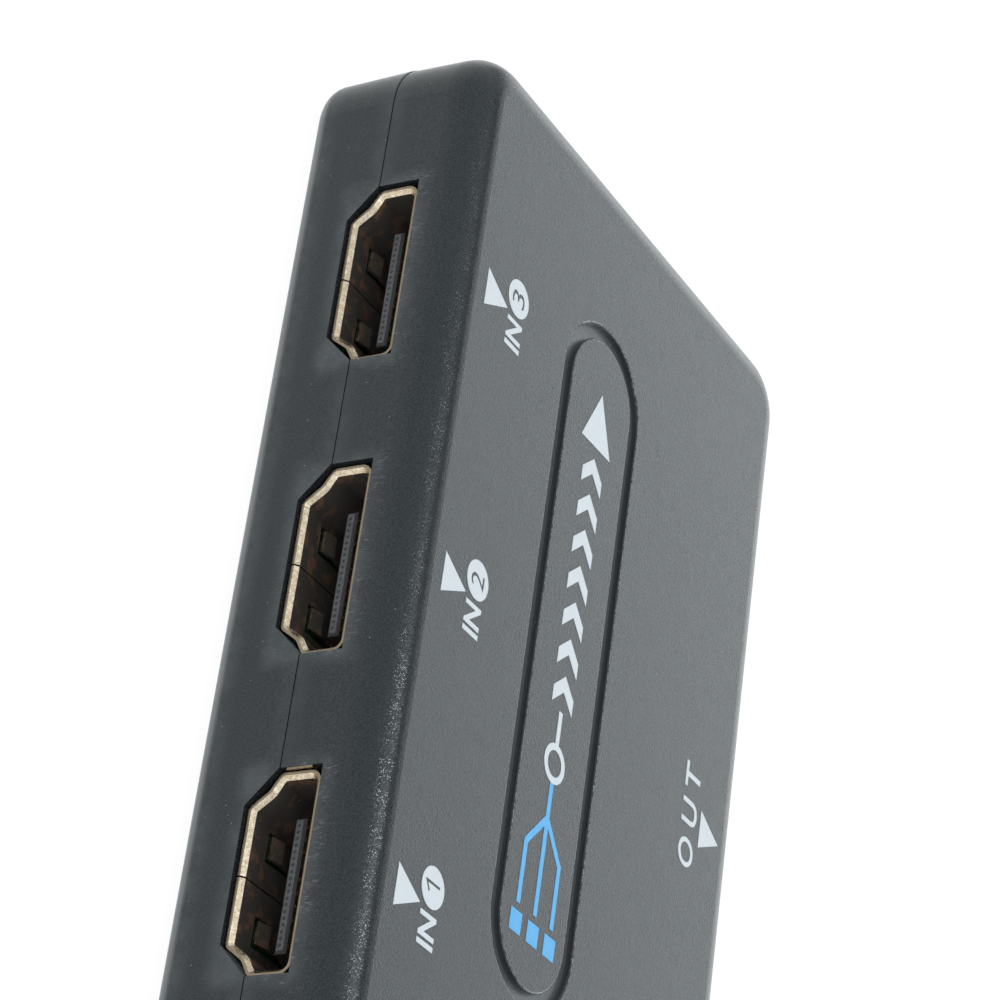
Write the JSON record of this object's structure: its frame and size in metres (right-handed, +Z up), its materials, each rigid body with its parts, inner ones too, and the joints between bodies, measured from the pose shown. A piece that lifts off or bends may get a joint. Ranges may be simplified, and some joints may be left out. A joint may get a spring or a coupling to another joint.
{
  "type": "hdmi switch box",
  "caption": "Small flat black box that switches one of several video inputs on one long side to an output on the other, with a select button, lamps and a power inlet.",
  "frame": {"origin": "on the table under the middle of the case", "axes": "+X along the row of inputs, from input 1 to input 3; +Y towards the inputs; -Y towards the output, button and power inlet; +Z up out of the labelled face"},
  "size_m": [0.0922, 0.0561, 0.0163],
  "materials": {
    "case_black": "moulded, fine spark-eroded grain",
    "foot_rubber": "matt",
    "screw_steel": "black zinc plating",
    "gold_plate": "thin bright gold-coloured plating on sheet metal",
    "socket_black": "glass-filled moulding",
    "contact_gold": "plated strip",
    "jack_black": "moulded",
    "tinned_metal": "tin plating on brass or copper",
    "button_black": "satin",
    "plunger_white": "moulded",
    "switch_base_black": "moulded",
    "switch_frame_steel": "stamped",
    "lamp_red": "tinted clear resin",
    "window_dark_red": "polished, dark tint",
    "receiver_black": "moulded resin",
    "chip_black": "moulded resin",
    "can_aluminium": "drawn",
    "crystal_steel": "drawn, nickel plated",
    "ferrite_grey": "moulded ferrite",
    "resistor_ceramic": "coated",
    "capacitor_ceramic": "fired",
    "board_green": "green solder mask on glass laminate",
    "ink_white": "printed ink",
    "ink_blue": "printed ink"
  },
  "bodies": {
    "housing": {"bottom_shell": "case_black", "top_shell": "case_black", "rubber_feet": "foot_rubber", "housing_screws": "screw_steel", "in_1_shell": "gold_plate", "in_1_insulator": "socket_black", "in_1_contacts": "contact_gold", "in_2_shell": "gold_plate", "in_2_insulator": "socket_black", "in_2_contacts": "contact_gold", "in_3_shell": "gold_plate", "in_3_insulator": "socket_black", "in_3_contacts": "contact_gold", "output_shell": "gold_plate", "output_insulator": "socket_black", "output_contacts": "contact_gold", "dc_jack_body": "jack_black", "dc_jack_pin": "tinned_metal", "dc_jack_spring": "tinned_metal", "switch_body": "switch_base_black", "switch_cover": "switch_frame_steel", "switch_dome": "switch_frame_steel", "status_lamps": "lamp_red", "status_lamp_leads": "tinned_metal", "ir_window": "window_dark_red", "ir_receiver": "receiver_black", "ir_receiver_leads": "tinned_metal", "switch_chip": "chip_black", "switch_chip_leads": "tinned_metal", "control_chip": "chip_black", "control_chip_leads": "tinned_metal", "memory_chips": "chip_black", "memory_chip_leads": "tinned_metal", "voltage_regulator": "chip_black", "voltage_regulator_leads": "tinned_metal", "capacitor_bases": "chip_black", "capacitor_cans": "can_aluminium", "crystal": "crystal_steel", "power_inductor": "ferrite_grey", "resistors": "resistor_ceramic", "ceramic_capacitors": "capacitor_ceramic", "circuit_board": "board_green"},
    "button": {"select_button": "button_black", "switch_plunger": "plunger_white"}
  },
  "joints": [
    {"name": "select_press", "type": "slide", "parent": "housing", "child": "button", "axis": [0, 1, 0], "range_m": [0, 0.0003], "stiffness_N_per_m": 800}
  ]
}
